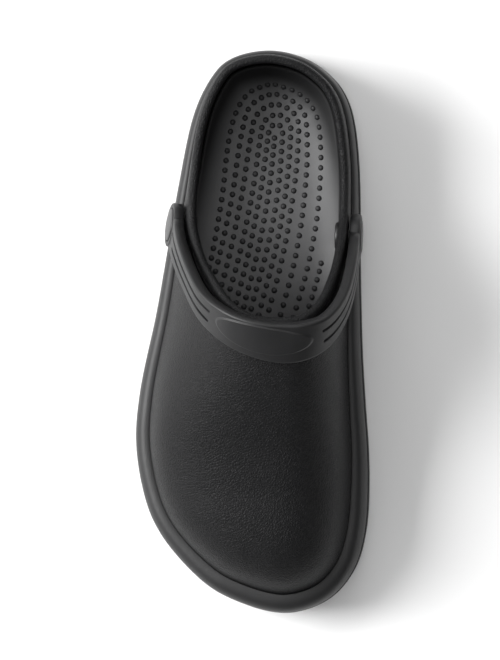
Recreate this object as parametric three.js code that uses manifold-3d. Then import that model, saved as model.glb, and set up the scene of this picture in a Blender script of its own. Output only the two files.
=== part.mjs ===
// A closed-toe work clog of moulded foam, for the right foot, with its heel strap turned forward.
// Millimetres, +Z up. The toe points to -Y, the heel to +Y, and the inner side of the foot is at +X.
// The origin is on the floor, under the middle of the sole's outline.
import * as THREE from 'three';
import Module from 'manifold-3d';

const wasm = await Module();
wasm.setup();

// Overall sizes of the shoe.
const shoeLength = 290;
const ballWidth = 121.6;
const instepHeight = 104;
const heelRimRise = 8;
const waistRimHeight = 58;

// Sizes of the sole.
const seamHeight = 34;
const footbedHeight = 25.5;
const seamInset = 10;
const seamGroove = 1.2;
const treadRound = 2.2;
const stepHeight = 9;
const stepDepth = 1.4;
const stepReach = 0.9;
const heelBevel = 4;
const archLift = 3;
const toeSpring = 15;
const channelWidth = 4;
const channelDepth = 2.5;
const channelPitch = 11;
const channelMargin = 11;
const footFlare = 4;

// Sizes of the upper, the insole and the gap between pieces.
const upperWall = 4.2;
const insoleThickness = 4.5;
const insoleLip = 1.8;
const insoleCup = 8;
const insoleCupFront = 0.4;
const gap = 0.3;

// Sizes of the heel strap and its rivets.
const strapThickness = 5;
const strapWidth = 24;
const bossRadius = 11.3;
const bossProud = 0.3;
const panelLength = 45;
const panelWidth = 14.6;
const panelProud = 0.6;
const panelShift = 1.2;
const grooveCount = 2;
const grooveWidth = 1.5;
const grooveDepth = 0.9;
const grooveMiddle = 28;
const grooveRivet = 12;
const grooveStagger = 5;
const capRadius = 8.2;
const capThickness = 1.5;
const capSink = 1;
const pinRadius = 3.4;
const backRadius = 7;
const backThickness = 2;

// How finely the curves are divided.
const loopSteps = 72;
const vampSteps = 12;
const strapSteps = 32;
const panelSteps = 10;
const grooveSteps = 5;
const roundSteps = 20;
const smallestEdge = 0.02;
const boreReach = 20;

// The sole's outline seen from above. Along runs from the heel (0) to the toe (1) as a share of the
// length, and across runs from the outer side (-0.5) to the inner side (0.5) as a share of the width.
const outlineTable = [
  { along: 0.0, across: 0.082 },
  { along: 0.0146, across: 0.237 },
  { along: 0.0354, across: 0.316 },
  { along: 0.0688, across: 0.389 },
  { along: 0.1105, across: 0.43 },
  { along: 0.2, across: 0.457 },
  { along: 0.38, across: 0.4635 },
  { along: 0.5275, across: 0.4705 },
  { along: 0.6318, across: 0.484 },
  { along: 0.7152, across: 0.498 },
  { along: 0.7777, across: 0.5 },
  { along: 0.8403, across: 0.4935 },
  { along: 0.9028, across: 0.463 },
  { along: 0.9445, across: 0.41 },
  { along: 0.9779, across: 0.325 },
  { along: 1.0, across: 0.1525 },
  { along: 0.98, across: -0.06 },
  { along: 0.9445, across: -0.212 },
  { along: 0.8611, across: -0.394 },
  { along: 0.7986, across: -0.461 },
  { along: 0.7, across: -0.5 },
  { along: 0.6109, across: -0.4835 },
  { along: 0.4441, across: -0.3995 },
  { along: 0.2502, across: -0.3205 },
  { along: 0.1105, across: -0.2475 },
  { along: 0.0396, across: -0.159 },
  { along: 0.0146, across: -0.0865 },
];

// The last's ridge, which the sections of the upper climb to. Across is a share of the width, height a
// share of the instep height, and the fullness of each side is the exponent of its section. Flare is a
// share of the foot's flare, where the upper's side turns out again above the seam.
const lastTable = [
  { along: 0.17, across: 0.091, height: 1.04, outerFull: 2.1, innerFull: 2.8, flare: 0.1 },
  { along: 0.33, across: 0.124, height: 1.05, outerFull: 1.65, innerFull: 3.3, flare: 0.15 },
  { along: 0.43, across: 0.155, height: 1.035, outerFull: 1.55, innerFull: 3.1, flare: 0.4 },
  { along: 0.487, across: 0.16, height: 1.0, outerFull: 1.6, innerFull: 3.0, flare: 0.7 },
  { along: 0.56, across: 0.15, height: 0.9, outerFull: 1.9, innerFull: 2.8, flare: 1.0 },
  { along: 0.64, across: 0.12, height: 0.795, outerFull: 2.3, innerFull: 2.7, flare: 1.0 },
  { along: 0.71, across: 0.09, height: 0.715, outerFull: 2.5, innerFull: 2.6, flare: 1.0 },
  { along: 0.78, across: 0.066, height: 0.67, outerFull: 2.4, innerFull: 2.5, flare: 0.9 },
];

// The collar's edge seen from the side. Rise is a share of the way from the waist's rim to the instep,
// and heel is a share of the heel's extra rise.
const collarTable = [
  { along: 0.0, rise: 0.0, heel: 1.0 },
  { along: 0.07, rise: 0.0, heel: 0.6 },
  { along: 0.16, rise: 0.0, heel: 0.2 },
  { along: 0.235, rise: 0.0, heel: 0.0 },
  { along: 0.3, rise: 0.06, heel: 0.0 },
  { along: 0.345, rise: 0.24, heel: 0.0 },
  { along: 0.39, rise: 0.44, heel: 0.0 },
  { along: 0.425, rise: 0.64, heel: 0.0 },
  { along: 0.452, rise: 0.78, heel: 0.0 },
  { along: 0.475, rise: 0.92, heel: 0.0 },
  { along: 0.487, rise: 1.0, heel: 0.0 },
  { along: 0.5, rise: 1.3, heel: 0.0 },
];

// The sole seen from the side. Seam is the height of its joint with the upper and footbed that of its
// recess, as shares of their named heights. The two insets are shares of the seam's inset from the
// outline on each side. Heel, arch and toe are shares of the lifts of the tread from the floor.
const soleTable = [
  { along: 0.0, seam: 1.03, footbed: 1.0, outer: 0.5, inner: 0.5, heel: 1.0, arch: 0.0, toe: 0.0 },
  { along: 0.06, seam: 1.0, footbed: 1.0, outer: 0.58, inner: 0.45, heel: 0.0, arch: 0.0, toe: 0.0 },
  { along: 0.2, seam: 0.95, footbed: 1.0, outer: 0.67, inner: 0.4, heel: 0.0, arch: 0.0, toe: 0.0 },
  { along: 0.3, seam: 0.92, footbed: 0.98, outer: 0.72, inner: 0.46, heel: 0.0, arch: 0.0, toe: 0.0 },
  { along: 0.41, seam: 0.88, footbed: 0.9, outer: 0.77, inner: 0.58, heel: 0.0, arch: 1.0, toe: 0.0 },
  { along: 0.51, seam: 0.84, footbed: 0.81, outer: 0.82, inner: 0.72, heel: 0.0, arch: 0.0, toe: 0.0 },
  { along: 0.69, seam: 0.79, footbed: 0.72, outer: 0.91, inner: 0.85, heel: 0.0, arch: 0.0, toe: 0.0 },
  { along: 0.78, seam: 0.82, footbed: 0.73, outer: 0.97, inner: 0.93, heel: 0.0, arch: 0.0, toe: 0.0 },
  { along: 0.87, seam: 0.89, footbed: 0.82, outer: 1.02, inner: 1.0, heel: 0.0, arch: 0.0, toe: 0.24 },
  { along: 0.94, seam: 0.98, footbed: 0.95, outer: 1.06, inner: 1.05, heel: 0.0, arch: 0.0, toe: 0.6 },
  { along: 1.0, seam: 1.08, footbed: 1.06, outer: 1.09, inner: 1.09, heel: 0.0, arch: 0.0, toe: 1.0 },
];

// The strap's middle line on the last, from the outer rivet over the instep to the inner rivet. Across
// is -1 at the outer seam, 0 on the ridge and 1 at the inner seam. Lift is in strap thicknesses, width
// is a share of the strap's named width, and lean is how far its face turns from the last's to upright.
const strapTable = [
  { along: 0.3175, across: -0.885, lift: 0.28, width: 0.74, lean: -0.7 },
  { along: 0.36, across: -0.725, lift: 0.45, width: 0.68, lean: 0.25 },
  { along: 0.41, across: -0.57, lift: 0.52, width: 0.66, lean: 0.5 },
  { along: 0.456, across: -0.425, lift: 0.5, width: 0.67, lean: 0.52 },
  { along: 0.489, across: -0.26, lift: 0.37, width: 0.76, lean: 0.36 },
  { along: 0.507, across: -0.12, lift: 0.21, width: 0.84, lean: 0.12 },
  { along: 0.515, across: 0.03, lift: 0.16, width: 0.88, lean: 0.0 },
  { along: 0.511, across: 0.22, lift: 0.19, width: 0.86, lean: 0.1 },
  { along: 0.495, across: 0.4, lift: 0.34, width: 0.82, lean: 0.4 },
  { along: 0.457, across: 0.555, lift: 0.5, width: 0.77, lean: 0.5 },
  { along: 0.4, across: 0.685, lift: 0.45, width: 0.74, lean: 0.4 },
  { along: 0.336, across: 0.84, lift: 0.25, width: 0.74, lean: -0.6 },
];

const mix = (a, b, share) => a + (b - a) * share;
const clamp = (value, low, high) => Math.min(high, Math.max(low, value));
const yAt = (along) => shoeLength * (0.5 - along);
const alongAt = (y) => 0.5 - y / shoeLength;

// A smooth curve through one column of a table, which never swings past its rows.
function columnCurve(rows, column, key = 'along') {
  const count = rows.length;
  const x = rows.map((row) => row[key]);
  const y = rows.map((row) => row[column]);
  const slope = x.slice(1).map((right, i) => (y[i + 1] - y[i]) / (right - x[i]));
  const tangent = x.map((_, i) => {
    if (i === 0) return slope[0];
    if (i === count - 1) return slope[count - 2];
    if (slope[i - 1] * slope[i] <= 0) return 0;
    return (2 * slope[i - 1] * slope[i]) / (slope[i - 1] + slope[i]);
  });
  return (at) => {
    const value = clamp(at, x[0], x[count - 1]);
    let i = 0;
    while (i < count - 2 && value > x[i + 1]) i += 1;
    const span = x[i + 1] - x[i];
    const t = (value - x[i]) / span;
    const near = (1 + 2 * t) * (1 - t) ** 2 * y[i] + t * (1 - t) ** 2 * span * tangent[i];
    const far = t * t * (3 - 2 * t) * y[i + 1] + t * t * (t - 1) * span * tangent[i + 1];
    return near + far;
  };
}

const seamShare = columnCurve(soleTable, 'seam');
const footbedShare = columnCurve(soleTable, 'footbed');
const outerInset = columnCurve(soleTable, 'outer');
const innerInset = columnCurve(soleTable, 'inner');
const heelShare = columnCurve(soleTable, 'heel');
const archShare = columnCurve(soleTable, 'arch');
const toeShare = columnCurve(soleTable, 'toe');
const ridgeAcross = columnCurve(lastTable, 'across');
const ridgeHeight = columnCurve(lastTable, 'height');
const outerFull = columnCurve(lastTable, 'outerFull');
const innerFull = columnCurve(lastTable, 'innerFull');
const flareShare = columnCurve(lastTable, 'flare');
const collarRise = columnCurve(collarTable, 'rise');
const collarHeel = columnCurve(collarTable, 'heel');

const seamZ = (y) => seamHeight * seamShare(alongAt(y));
const footbedZ = (y) => footbedHeight * footbedShare(alongAt(y));

function treadZ(y) {
  const along = alongAt(y);
  return heelBevel * heelShare(along) + archLift * archShare(along) + toeSpring * toeShare(along);
}

function collarZ(y) {
  const along = alongAt(y);
  const climb = (instepHeight - waistRimHeight) * collarRise(along);
  return waistRimHeight + climb + heelRimRise * collarHeel(along);
}

// Points of the outline in order round the shoe, fitted to the named length and width.
function outlinePoints(count) {
  const table = outlineTable.map((row) => new THREE.Vector3(row.across, -row.along, 0));
  const curve = new THREE.CatmullRomCurve3(table, true, 'centripetal');
  curve.arcLengthDivisions = 600;
  const box = new THREE.Box3().setFromPoints(curve.getSpacedPoints(600));
  const centre = box.getCenter(new THREE.Vector3());
  const size = box.getSize(new THREE.Vector3());
  return curve.getSpacedPoints(count).slice(0, count).map((point) => new THREE.Vector2(
    ((point.x - centre.x) / size.x) * ballWidth,
    ((point.y - centre.y) / size.y) * shoeLength,
  ));
}

// Each outline point with the direction that points inward from it, and the inset of the seam there.
function outlineFrames(count) {
  const points = outlinePoints(count);
  return points.map((point, i) => {
    const next = points[(i + 1) % count];
    const before = points[(i + count - 1) % count];
    const tangent = next.clone().sub(before).normalize();
    const inward = new THREE.Vector2(tangent.y, -tangent.x);
    const innerSide = (1 - inward.x) / 2;
    const along = alongAt(point.y);
    const inset = seamInset * mix(outerInset(along), innerInset(along), innerSide);
    return { point, inward, inset };
  });
}

const insetPoint = (frame, distance) => frame.point.clone().addScaledVector(frame.inward, distance);
const at = (flat, z) => new THREE.Vector3(flat.x, flat.y, z);

const loop = outlineFrames(loopSteps);
const seamLoop = loop.map((frame) => insetPoint(frame, frame.inset));
const fineSeam = outlineFrames(loopSteps * 4).map((frame) => insetPoint(frame, frame.inset));

// The point of the last's ridge that a place seen from above belongs to.
const heelEnd = yAt(lastTable[0].along);
const toeEnd = yAt(lastTable[lastTable.length - 1].along);
function ridgePoint(y) {
  const on = clamp(y, toeEnd, heelEnd);
  return new THREE.Vector2(ridgeAcross(alongAt(on)) * ballWidth, on);
}

// How far it is from a point of the ridge to the seam in one direction.
function reachOf(from, direction) {
  let reach = 0;
  fineSeam.forEach((a, i) => {
    const b = fineSeam[(i + 1) % fineSeam.length];
    const edge = b.clone().sub(a);
    const cross = direction.x * edge.y - direction.y * edge.x;
    if (Math.abs(cross) < 1e-9) return;
    const away = a.clone().sub(from);
    const distance = (away.x * edge.y - away.y * edge.x) / cross;
    const share = (away.x * direction.y - away.y * direction.x) / cross;
    if (distance > 0 && share >= -1e-6 && share <= 1 + 1e-6) reach = Math.max(reach, distance);
  });
  return reach;
}

// The outer face of the upper over a place of the last's map, where the seam is the map's edge.
const sideBlend = 14;
function lastPoint(place) {
  const ridge = ridgePoint(place.y);
  const away = place.clone().sub(ridge);
  const distance = away.length();
  const direction = distance > 1e-6 ? away.clone().divideScalar(distance) : new THREE.Vector2(1, 0);
  const reach = reachOf(ridge, direction);
  const angle = (distance / reach) * (Math.PI / 2);
  const along = alongAt(ridge.y);
  const side = direction.x * (1 - Math.exp(-distance / sideBlend));
  const full = mix(outerFull(along), innerFull(along), (1 + side) / 2);
  const norm = (Math.sin(angle) ** full + Math.abs(Math.cos(angle)) ** full) ** (1 / full);
  const foot = ridge.clone().addScaledVector(direction, reach);
  const footZ = seamZ(foot.y) + gap + seamGroove;
  const flare = footFlare * flareShare(along) * mix(0.35, 1, (1 + side) / 2);
  const sideways = ((reach - flare) * Math.sin(angle)) / norm + flare * (distance / reach) ** 9;
  const flat = ridge.clone().addScaledVector(direction, sideways);
  return at(flat, footZ + ((instepHeight * ridgeHeight(along) - footZ) * Math.cos(angle)) / norm);
}

function lastNormal(place) {
  const step = 0.4;
  const sideways = (x, y) => lastPoint(place.clone().add(new THREE.Vector2(x, y)));
  const across = sideways(step, 0).sub(sideways(-step, 0));
  const forward = sideways(0, step).sub(sideways(0, -step));
  return across.cross(forward).normalize();
}

// A closed solid from rings of points, each ring joined to the next.
function solidFrom(vertices, triangles) {
  const vertProperties = new Float32Array(vertices.flatMap((v) => [v.x, v.y, v.z]));
  const mesh = new wasm.Mesh({ numProp: 3, vertProperties, triVerts: new Uint32Array(triangles) });
  const solid = new wasm.Manifold(mesh);
  if (solid.volume() >= 0) return solid;
  for (let i = 0; i < triangles.length; i += 3) {
    [triangles[i + 1], triangles[i + 2]] = [triangles[i + 2], triangles[i + 1]];
  }
  return solidFrom(vertices, triangles);
}

function ringBands(rings, wrapped) {
  const count = rings[0].length;
  const triangles = [];
  const bands = wrapped ? rings.length : rings.length - 1;
  for (let r = 0; r < bands; r += 1) {
    const low = r * count;
    const high = ((r + 1) % rings.length) * count;
    for (let i = 0; i < count; i += 1) {
      const j = (i + 1) % count;
      triangles.push(low + i, low + j, high + j, low + i, high + j, high + i);
    }
  }
  return triangles;
}

// Rings whose first and last are closed by strips that zip one side of the ring to the other.
function cappedSolid(rings) {
  const triangles = ringBands(rings, false);
  const count = rings[0].length;
  const top = (rings.length - 1) * count;
  for (let i = 0; i < count / 2; i += 1) {
    const left = [i, i + 1];
    const right = [(count - i) % count, count - i - 1];
    if (right[1] !== left[1]) {
      triangles.push(left[0], right[1], left[1]);
      triangles.push(top + left[0], top + left[1], top + right[1]);
    }
    if (right[0] !== left[0]) {
      triangles.push(left[0], right[0], right[1]);
      triangles.push(top + left[0], top + right[1], top + right[0]);
    }
  }
  return solidFrom(rings.flat(), triangles);
}

const torusSolid = (rings) => solidFrom(rings.flat(), ringBands(rings, true));

// Rings that close in from a ring towards the ridge, at heights given for each share of the way.
function inwardRings(ring, shares, heightOf) {
  return shares.map((share) => ring.map((point, i) => {
    const flat = new THREE.Vector2(point.x, point.y).lerp(ridgePoint(point.y), share);
    return at(flat, heightOf(flat, share, i));
  }));
}

function cylinderAlong(origin, axis, radius, low, high, steps = roundSteps) {
  const turn = new THREE.Quaternion().setFromUnitVectors(new THREE.Vector3(0, 0, 1), axis);
  const rings = [low, high].map((z) => Array.from({ length: steps }, (_, i) => {
    const angle = (i / steps) * Math.PI * 2;
    const local = new THREE.Vector3(radius * Math.cos(angle), radius * Math.sin(angle), z);
    return local.applyQuaternion(turn).add(origin);
  }));
  return cappedSolid(rings);
}

// Sole: tread, lower band, side step, rounded bumper, seam groove, the upper's seat and the recess.
function soleRings() {
  const ring = (make) => loop.map(make);
  const overTread = (frame, distance, rise) => {
    const point = insetPoint(frame, distance);
    return at(point, treadZ(point.y) + rise);
  };
  const bumper = (degrees) => (frame) => {
    const angle = (degrees * Math.PI) / 180;
    const reach = frame.inset - seamGroove - stepReach;
    const point = insetPoint(frame, stepReach + reach * (1 - Math.cos(angle)));
    const low = treadZ(frame.point.y) + stepHeight + stepDepth * 1.2;
    return at(point, mix(low, seamZ(frame.point.y), Math.sin(angle)));
  };
  const underSeam = (distance, drop) => (frame) => (
    at(insetPoint(frame, frame.inset + distance), seamZ(frame.point.y) - drop)
  );
  const treadEdge = ring((frame) => overTread(frame, treadRound, 0));
  return [
    ...inwardRings(treadEdge, [0.86, 0.5, 0.2], (flat) => treadZ(flat.y)),
    treadEdge,
    ring((frame) => overTread(frame, treadRound * 0.3, treadRound * 0.3)),
    ring((frame) => overTread(frame, 0, treadRound)),
    ring((frame) => overTread(frame, 0.2, stepHeight)),
    ring((frame) => overTread(frame, 0.2 + stepDepth, stepHeight + stepDepth * 0.4)),
    ...[0, 28, 52, 74].map((degrees) => ring(bumper(degrees))),
    ring(underSeam(-seamGroove * 0.8, 0)),
    ring(underSeam(seamGroove * 0.2, seamGroove)),
    ring(underSeam(seamGroove, 0)),
    ring(underSeam(upperWall, 0)),
    ...recessRings(),
  ];
}

function recessRings() {
  const wall = loop.map((f) => {
    const point = insetPoint(f, f.inset + upperWall);
    return at(point, footbedZ(point.y));
  });
  return [wall, ...inwardRings(wall, [0.4, 0.86], (flat) => footbedZ(flat.y))];
}

// Straight channels across the tread under the ball and the heel, kept inside a plain rim.
function treadChannels() {
  const inner = loop.map((f) => insetPoint(f, channelMargin));
  const shape = cappedSolid([
    inner.map((p) => at(p, -channelDepth)),
    inner.map((p) => at(p, channelDepth)),
  ]);
  const zones = [
    { from: 0.105, to: 0.27 },
    { from: 0.535, to: 0.77 },
  ];
  const bars = [];
  zones.forEach(({ from, to }) => {
    const count = Math.floor(((to - from) * shoeLength) / channelPitch) + 1;
    for (let i = 0; i < count; i += 1) {
      const geometry = new THREE.BoxGeometry(ballWidth * 2, channelWidth, channelDepth * 2);
      geometry.translate(0, yAt(from) - i * channelPitch, 0);
      bars.push(manifoldOf(geometry));
    }
    const spine = new THREE.BoxGeometry(channelWidth, (to - from) * shoeLength, channelDepth * 2);
    spine.translate(ridgeAcross((from + to) / 2) * ballWidth, yAt((from + to) / 2), 0);
    bars.push(manifoldOf(spine));
  });
  return shape.intersect(wasm.Manifold.union(bars));
}

// A manifold solid from a three.js geometry, with its shared corners merged.
function manifoldOf(geometry) {
  const key = (x, y, z) => [x, y, z].map((v) => Math.round(v * 1e4)).join(' ');
  const position = geometry.getAttribute('position');
  const index = geometry.index ? [...geometry.index.array] : [...Array(position.count).keys()];
  const places = new Map();
  const vertices = [];
  const merged = index.map((i) => {
    const name = key(position.getX(i), position.getY(i), position.getZ(i));
    if (!places.has(name)) {
      places.set(name, vertices.length);
      vertices.push(new THREE.Vector3().fromBufferAttribute(position, i));
    }
    return places.get(name);
  });
  const triangles = [];
  for (let i = 0; i < merged.length; i += 3) {
    const [a, b, c] = merged.slice(i, i + 3);
    if (a !== b && b !== c && a !== c) triangles.push(a, b, c);
  }
  return solidFrom(vertices, triangles);
}

function makeSole() {
  return cappedSolid(soleRings()).subtract(treadChannels());
}

// Upper: lines run over the last's map from the collar's edge to the seam, all round the shoe.
const openingCentre = new THREE.Vector2(ballWidth * 0.1, yAt(0.27));
function collarPlace(seamPoint) {
  let inside = 0;
  let outside = 1;
  for (let i = 0; i < 22; i += 1) {
    const middle = (inside + outside) / 2;
    const point = lastPoint(openingCentre.clone().lerp(seamPoint, middle));
    if (point.z > collarZ(point.y)) inside = middle;
    else outside = middle;
  }
  return openingCentre.clone().lerp(seamPoint, (inside + outside) / 2);
}

const upperLines = seamLoop.map((seamPoint, i) => {
  const edge = collarPlace(seamPoint);
  const line = [];
  for (let k = 0; k <= vampSteps; k += 1) {
    const share = 1 - (1 - k / vampSteps) ** 1.5;
    const place = edge.clone().lerp(seamPoint, share);
    line.push({ place, point: lastPoint(place), normal: lastNormal(place) });
  }
  const inward = loop[i].inward;
  line[vampSteps].normal.set(-inward.x, -inward.y, 0);
  return line;
});

function makeUpper() {
  const outer = [];
  const inner = [];
  for (let k = 0; k <= vampSteps; k += 1) {
    outer.push(upperLines.map((line) => line[k].point));
    if (k % 2 === 0) {
      inner.push(upperLines.map((line) => line[k].point.clone().addScaledVector(line[k].normal, -upperWall)));
    }
  }
  const base = (distance) => loop.map((f) => at(insetPoint(f, f.inset + distance), seamZ(f.point.y) + gap));
  const rim = [0.75, 0.5, 0.25].map((share) => upperLines.map((line) => {
    const [edge, next] = line;
    const up = edge.point.clone().sub(next.point).normalize();
    const angle = share * Math.PI;
    const half = upperWall / 2;
    return edge.point.clone()
      .addScaledVector(edge.normal, half * (Math.cos(angle) - 1))
      .addScaledVector(up, half * Math.sin(angle));
  }));
  const shell = torusSolid([...outer, base(seamGroove), base(upperWall), ...inner.reverse(), ...rim]);
  return rivetPlaces.reduce((solid, rivet) => solid
    .subtract(cylinderAlong(rivet.origin, rivet.axis, pinRadius + gap, -boreReach, boreReach / 2))
    .subtract(cylinderAlong(rivet.origin, rivet.axis, backRadius + gap, -boreReach, rivet.inside)), shell);
}

// Insole: a cupped footbed that fills the recess and climbs the inside of the upper.
function makeInsole(sole) {
  const clear = (f) => f.inset + upperWall + gap;
  const cupZ = (y) => seamZ(y) + insoleCup * mix(1, insoleCupFront, clamp(alongAt(y) * 4 - 0.4, 0, 1));
  const side = (rise) => loop.map((f) => {
    const point = insetPoint(f, clear(f));
    return at(point, rise(f, point));
  });
  const lip = upperLines.map((line) => lipPoint(line, cupZ));
  const lipInside = lip.map((point, i) => point.clone()
    .add(at(loop[i].inward.clone().multiplyScalar(insoleLip), 0)));
  const top = (flat, share, i) => {
    const floor = footbedZ(flat.y) + insoleThickness;
    return mix(floor, lipInside[i].z, (1 - share) ** 5);
  };
  const cup = cappedSolid([
    side((f, point) => footbedZ(point.y) - 1),
    side((f) => seamZ(f.point.y)),
    lip,
    lipInside,
    ...inwardRings(lipInside, [0.07, 0.17, 0.32, 0.56, 0.86], top),
  ]);
  return cup.subtract(sole.translate([0, 0, gap]));
}

// The place where one of the upper's lines comes down to the insole's lip, inside the wall.
function lipPoint(line, heightOf) {
  const pairs = line.slice(1).map((low, i) => [line[i], low]);
  const passes = ([high, low]) => low.point.z <= heightOf(low.point.y) && high.point.z > low.point.z;
  const found = pairs.find(passes) ?? pairs[pairs.length - 1];
  const [high, low] = found;
  const height = heightOf(low.point.y);
  const share = clamp((height - low.point.z) / (high.point.z - low.point.z), 0, 1);
  const point = low.point.clone().lerp(high.point, share);
  const normal = low.normal.clone().lerp(high.normal, share).normalize();
  return point.addScaledVector(normal, -(upperWall + gap * 2));
}

// The strap's middle line and the direction away from the last along it.
function strapPlace(row) {
  const y = yAt(row.along);
  const ridge = ridgePoint(y);
  const direction = new THREE.Vector2(Math.sign(row.across) || 1, 0);
  return ridge.clone().addScaledVector(direction, reachOf(ridge, direction) * Math.abs(row.across));
}

const strapRows = strapTable.map((row) => {
  const place = strapPlace(row);
  const seat = lastPoint(place);
  const out = lastNormal(place);
  const upright = out.clone().setZ(0).normalize();
  return {
    seat,
    point: seat.clone().addScaledVector(out, row.lift * strapThickness),
    normal: out.clone().lerp(upright, row.lean).normalize(),
    width: row.width,
  };
});
const strapLine = new THREE.CatmullRomCurve3(strapRows.map((row) => row.point), false, 'centripetal');
const strapNormals = new THREE.CatmullRomCurve3(strapRows.map((row) => row.normal), false, 'centripetal');
const strapWidths = columnCurve(
  strapRows.map((row, i) => ({ step: i / (strapRows.length - 1), width: row.width })),
  'width',
  'step',
);

// A point of the strap: step runs from rivet to rivet, across and height are in millimetres.
function strapPoint(step, across, height) {
  const tangent = strapLine.getTangent(step);
  const normal = strapNormals.getPoint(step);
  const sideways = tangent.clone().cross(normal).normalize();
  const out = sideways.clone().cross(tangent).normalize();
  return strapLine.getPoint(step).addScaledVector(sideways, across).addScaledVector(out, height);
}

const rivetPlaces = ['outer', 'inner'].map((side, i) => {
  const row = strapRows[i === 0 ? 0 : strapRows.length - 1];
  const origin = strapPoint(i === 0 ? 0 : 1, 0, 0);
  const axis = strapPoint(i === 0 ? 0 : 1, 0, 1).sub(origin).normalize();
  const inside = -upperWall - origin.clone().sub(row.seat).dot(axis);
  return { side, origin, axis, inside };
});

// A bar that follows the strap's face between two distances from its middle. Spread and across give its
// half width and its place across the strap, and its section runs from low to high over the face.
function strapBar(from, to, steps, spread, across, low, high) {
  const length = strapLine.getLength();
  const rings = Array.from({ length: steps + 1 }, (_, i) => {
    const distance = mix(from, to, i / steps);
    const step = strapLine.getUtoTmapping(0.5 + distance / length);
    const half = spread(distance);
    const middle = across(step);
    return [[-half, low], [half, low], [half, high], [-half, high]].map(([side, height]) => (
      strapPoint(step, middle + side, strapThickness + height)
    ));
  });
  return cappedSolid(rings);
}

// The bare oval panel that stands on the strap's middle, blunt at its two ends.
function strapPanel() {
  const end = (panelLength / 2) * 0.985;
  const half = (distance) => (panelWidth / 2) * Math.sqrt(1 - (distance / (panelLength / 2)) ** 2);
  return strapBar(-end, end, panelSteps, half, () => -panelShift, -1, panelProud);
}

// Grooves that share out the strap's width between each rivet and the panel.
function strapGrooves() {
  const reach = strapLine.getLength() / 2;
  const top = grooveDepth * 2;
  const bars = [];
  for (let k = 1; k <= grooveCount; k += 1) {
    const start = reach - grooveRivet - grooveStagger * (k - 1);
    const across = (step) => strapWidths(step) * strapWidth * (k / (grooveCount + 1) - 0.5);
    const half = () => grooveWidth / 2;
    [-1, 1].forEach((side) => {
      bars.push(strapBar(side * start, side * grooveMiddle, grooveSteps, half, across, -grooveDepth, top));
    });
  }
  return bars;
}

function strapBand() {
  const corner = strapThickness * 0.25;
  const rings = Array.from({ length: strapSteps + 1 }, (_, i) => {
    const step = i / strapSteps;
    const half = (strapWidths(step) * strapWidth) / 2;
    const section = [
      [corner - half, 0], [half - corner, 0], [half, corner], [half, strapThickness - corner],
      [half - corner, strapThickness], [corner - half, strapThickness],
      [-half, strapThickness - corner], [-half, corner],
    ];
    return section.map(([across, height]) => strapPoint(step, across, height));
  });
  return cappedSolid(rings);
}

function makeStrap() {
  const bosses = rivetPlaces.map((rivet) => cylinderAlong(
    rivet.origin,
    rivet.axis,
    bossRadius,
    -bossProud / 2,
    strapThickness + bossProud,
    roundSteps + 8,
  ));
  const whole = wasm.Manifold.union([strapBand(), strapPanel(), ...bosses])
    .subtract(wasm.Manifold.union(strapGrooves()));
  const seat = strapThickness + bossProud - capSink;
  return rivetPlaces.reduce((solid, rivet) => solid
    .subtract(cylinderAlong(rivet.origin, rivet.axis, pinRadius + gap, -boreReach, boreReach))
    .subtract(cylinderAlong(rivet.origin, rivet.axis, capRadius + gap, seat, boreReach)), whole);
}

// Rivets: a cap with its pin outside the strap, and a back that takes the pin inside the upper.
function latheSolid(profile) {
  const points = profile.map(([radius, z]) => new THREE.Vector2(radius, z));
  const geometry = new THREE.LatheGeometry(points, roundSteps);
  geometry.rotateX(Math.PI / 2);
  return geometryOf(manifoldOf(geometry));
}

function capGeometry(pinEnd) {
  const seat = strapThickness + bossProud - capSink + gap;
  return latheSolid([
    [0, pinEnd], [pinRadius - 0.4, pinEnd], [pinRadius, pinEnd + 0.4], [pinRadius, seat],
    [capRadius, seat], [capRadius, seat + capThickness * 0.6], [capRadius - 0.8, seat + capThickness * 0.9],
    [capRadius * 0.5, seat + capThickness], [0, seat + capThickness * 1.05],
  ]);
}

function backGeometry(top) {
  const bottom = top - backThickness;
  const bore = pinRadius + gap;
  return latheSolid([
    [bore, top], [backRadius, top], [backRadius, bottom + 0.6], [backRadius - 0.6, bottom],
    [bore, bottom], [bore, top],
  ]);
}

function geometryOf(solid) {
  const mesh = solid.simplify(smallestEdge).getMesh();
  const geometry = new THREE.BufferGeometry();
  const position = new Float32Array(mesh.numVert * 3);
  for (let i = 0; i < mesh.numVert; i += 1) {
    for (let axis = 0; axis < 3; axis += 1) {
      position[i * 3 + axis] = mesh.vertProperties[i * mesh.numProp + axis];
    }
  }
  geometry.setAttribute('position', new THREE.BufferAttribute(position, 3));
  geometry.setIndex([...mesh.triVerts]);
  geometry.computeVertexNormals();
  return geometry;
}

const foam = (color, roughness) => new THREE.MeshStandardMaterial({ color, roughness, metalness: 0 });
const materials = {
  sole: foam(0x2a2a2b, 0.62),
  upper: foam(0x262627, 0.55),
  insole: foam(0x2b2b2c, 0.6),
  strap: foam(0x29292a, 0.55),
  rivet: foam(0x3a3a3b, 0.45),
};

const clog = new THREE.Group();
function addPiece(name, geometry, material) {
  const mesh = new THREE.Mesh(geometry, material);
  mesh.name = name;
  clog.add(mesh);
  return mesh;
}

const sole = makeSole();
addPiece('sole', geometryOf(sole), materials.sole);
addPiece('insole', geometryOf(makeInsole(sole)), materials.insole);
addPiece('upper', geometryOf(makeUpper()), materials.upper);
addPiece('heel_strap', geometryOf(makeStrap()), materials.strap);

rivetPlaces.forEach((rivet) => {
  const backTop = rivet.inside - gap;
  const pieces = [
    addPiece(`rivet_cap_${rivet.side}`, capGeometry(backTop - backThickness * 0.8), materials.rivet),
    addPiece(`rivet_back_${rivet.side}`, backGeometry(backTop), materials.rivet),
  ];
  pieces.forEach((piece) => {
    piece.position.copy(rivet.origin);
    piece.quaternion.setFromUnitVectors(new THREE.Vector3(0, 0, 1), rivet.axis);
  });
});

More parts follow.
